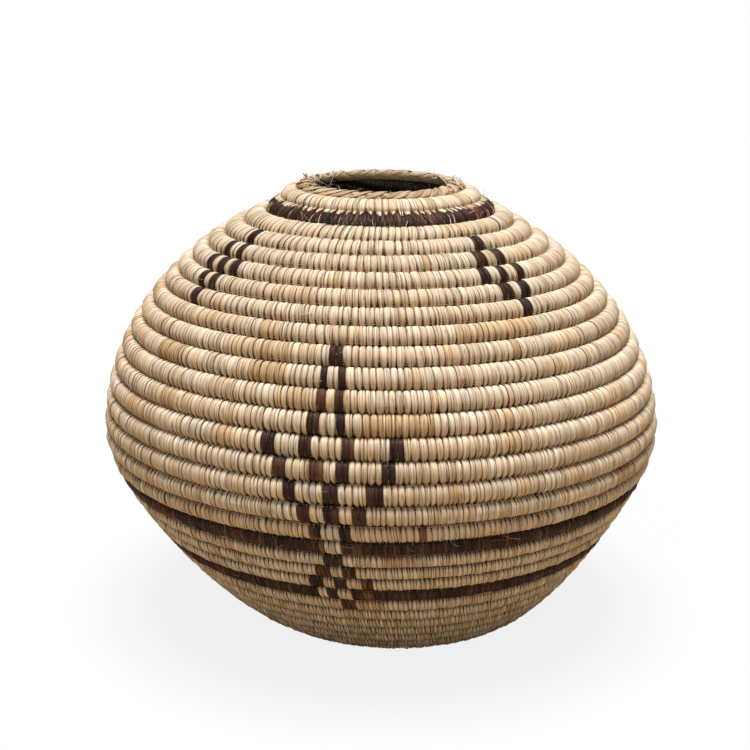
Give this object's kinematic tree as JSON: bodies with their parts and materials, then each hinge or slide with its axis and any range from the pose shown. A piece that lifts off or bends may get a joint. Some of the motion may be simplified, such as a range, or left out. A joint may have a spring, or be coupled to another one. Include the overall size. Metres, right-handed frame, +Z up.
{
  "type": "coiled palm basket",
  "caption": "Round-bellied coiled basket jar of wrapped palm fibre, with a flat foot, a narrow open mouth, a plaited rim and dark bands and diamonds.",
  "frame": {"origin": "centre of the basket's outline at floor level, under the belly", "axes": "+Z up through the mouth, -Y the side shown in the picture, +X to the right seen from there"},
  "size_m": [0.3312, 0.331, 0.2631],
  "materials": {
    "natural_palm": "natural palm-leaf strip wrapped round a fibre bundle, low sheen",
    "dyed_palm": "palm-leaf strip dyed dark brown, low sheen",
    "plait_palm": "plaited natural palm-leaf strips, low sheen"
  },
  "bodies": {
    "root": {"start_knot": "natural_palm", "base_round_01": "natural_palm", "base_round_02": "natural_palm", "base_round_03": "natural_palm", "base_round_04": "natural_palm", "base_round_05": "natural_palm", "base_round_06": "natural_palm", "base_round_07": "natural_palm", "wall_round_01": "natural_palm", "wall_round_02": "natural_palm", "wall_round_03": "natural_palm", "wall_round_04": "natural_palm", "wall_round_05": "natural_palm", "wall_round_06": "natural_palm", "wall_round_07": "natural_palm", "dark_band_foot": "dyed_palm", "wall_round_09": "natural_palm", "wall_round_10": "natural_palm", "wall_round_11": "natural_palm", "dark_band_waist": "dyed_palm", "wall_round_13": "natural_palm", "wall_round_14": "natural_palm", "wall_round_15": "natural_palm", "wall_round_16": "natural_palm", "wall_round_17": "natural_palm", "wall_round_18": "natural_palm", "wall_round_19": "natural_palm", "wall_round_20": "natural_palm", "wall_round_21": "natural_palm", "wall_round_22": "natural_palm", "wall_round_23": "natural_palm", "wall_round_24": "natural_palm", "wall_round_25": "natural_palm", "wall_round_26": "natural_palm", "wall_round_27": "natural_palm", "wall_round_28": "natural_palm", "dark_band_neck": "dyed_palm", "wall_round_30": "natural_palm", "rim_plait": "plait_palm"}
  },
  "joints": []
}
